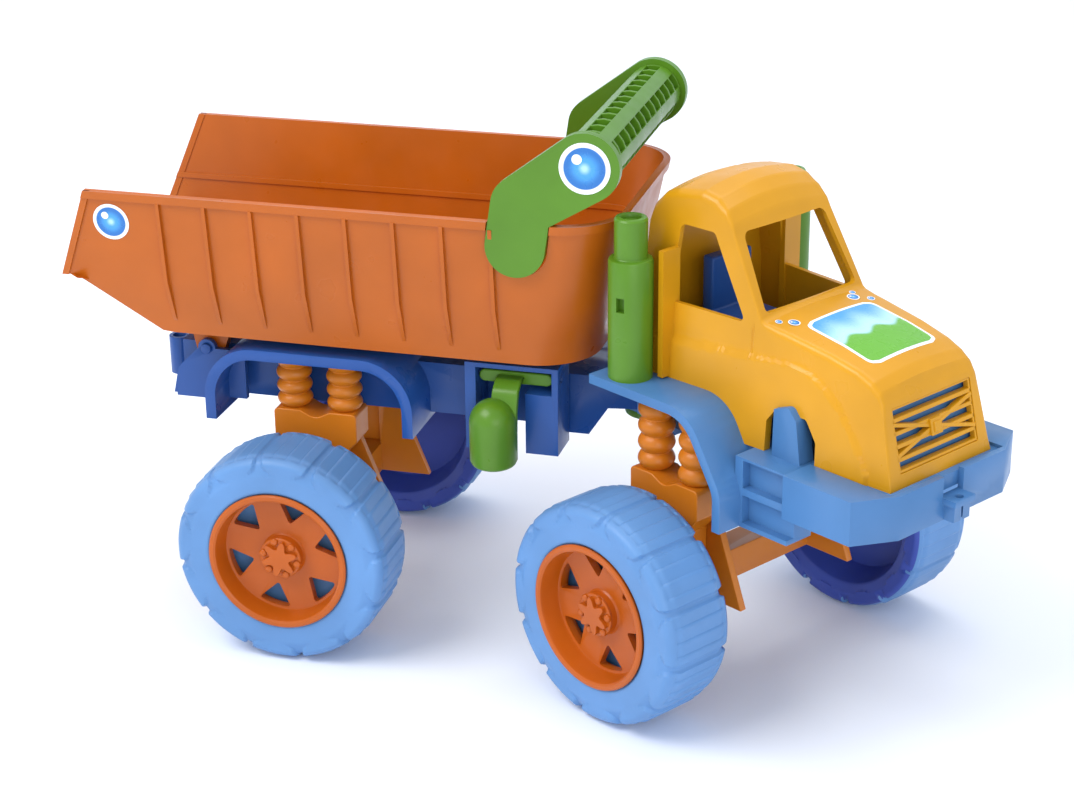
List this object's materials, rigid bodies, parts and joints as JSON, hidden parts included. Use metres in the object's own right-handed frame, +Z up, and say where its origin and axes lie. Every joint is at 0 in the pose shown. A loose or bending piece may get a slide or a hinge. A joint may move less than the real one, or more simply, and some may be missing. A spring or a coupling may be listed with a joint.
{
  "type": "toy dump truck",
  "caption": "Articulated plastic toy dump truck: tipping bed with a carry handle, open cab, steering joint in the middle, side lever and free-turning chunky wheels.",
  "frame": {"origin": "on the ground under the middle of the truck's bounding box, with the front unit turned to the right as it stands at rest", "axes": "+X forward along the rear unit, +Y to its left, +Z up"},
  "size_m": [0.5954, 0.33, 0.346],
  "materials": {
    "tyre_blue": "satin moulded polypropylene, light blue",
    "rim_orange": "gloss moulded polypropylene, deep orange",
    "suspension_orange": "gloss moulded polypropylene, amber orange",
    "axle_steel": "plain drawn steel rod",
    "chassis_blue": "gloss moulded polypropylene, deep blue",
    "body_blue": "gloss moulded polypropylene, light blue",
    "bed_orange": "gloss moulded polypropylene, orange",
    "cab_yellow": "gloss moulded polypropylene, yellow orange",
    "trim_green": "gloss moulded polypropylene, leaf green"
  },
  "bodies": {
    "rear_frame": {"rear_chassis": "chassis_blue", "lever_bracket": "chassis_blue", "bed_hinge_pin": "chassis_blue", "rear_axle_rod": "axle_steel", "rear_axle_clips": "axle_steel", "rear_axle_beam": "suspension_orange", "rear_right_spring_block": "suspension_orange", "rear_left_spring_block": "suspension_orange"},
    "bed": {"dump_bed": "bed_orange", "handle_arm_right": "trim_green", "handle_arm_left": "trim_green", "handle_grip": "trim_green"},
    "lever": {"tipping_lever": "trim_green"},
    "front_frame": {"front_chassis": "body_blue", "articulation_pin": "trim_green", "front_bumper": "body_blue", "cab_shell": "cab_yellow", "grille": "cab_yellow", "cab_insert": "chassis_blue", "stack_right": "trim_green", "stack_left": "trim_green", "front_axle_rod": "axle_steel", "front_axle_clips": "axle_steel", "front_axle_beam": "suspension_orange", "front_right_spring_block": "suspension_orange", "front_left_spring_block": "suspension_orange"},
    "rear_right_wheel": {"rear_right_tyre": "tyre_blue", "rear_right_rim": "rim_orange", "rear_right_hub_cap": "rim_orange"},
    "rear_left_wheel": {"rear_left_tyre": "tyre_blue", "rear_left_rim": "rim_orange", "rear_left_hub_cap": "rim_orange"},
    "front_right_wheel": {"front_right_tyre": "tyre_blue", "front_right_rim": "rim_orange", "front_right_hub_cap": "rim_orange"},
    "front_left_wheel": {"front_left_tyre": "tyre_blue", "front_left_rim": "rim_orange", "front_left_hub_cap": "rim_orange"}
  },
  "joints": [
    {"name": "steer", "type": "hinge", "parent": "rear_frame", "child": "front_frame", "pos_m": [0.06733, 0.02703, 0.161], "axis": [0, 0, 1], "range_deg": [-6, 70]},
    {"name": "bed_tilt", "type": "hinge", "parent": "rear_frame", "child": "bed", "pos_m": [-0.21767, 0.02703, 0.173], "axis": [0, -1, 0], "range_deg": [0, 45]},
    {"name": "lever_swing", "type": "hinge", "parent": "rear_frame", "child": "lever", "pos_m": [-0.01667, -0.02697, 0.176], "axis": [-1, 0, 0], "range_deg": [0, 30]},
    {"name": "rear_right_wheel_spin", "type": "hinge", "parent": "rear_frame", "child": "rear_right_wheel", "pos_m": [-0.14067, -0.08397, 0.07], "axis": [0, 1, 0], "continuous": true},
    {"name": "rear_left_wheel_spin", "type": "hinge", "parent": "rear_frame", "child": "rear_left_wheel", "pos_m": [-0.14067, 0.13803, 0.07], "axis": [0, 1, 0], "continuous": true},
    {"name": "front_right_wheel_spin", "type": "hinge", "parent": "front_frame", "child": "front_right_wheel", "pos_m": [0.0789, -0.11108, 0.07], "axis": [0.5299, 0.848, 0], "continuous": true},
    {"name": "front_left_wheel_spin", "type": "hinge", "parent": "front_frame", "child": "front_left_wheel", "pos_m": [0.19654, 0.07718, 0.07], "axis": [0.5299, 0.848, 0], "continuous": true}
  ]
}
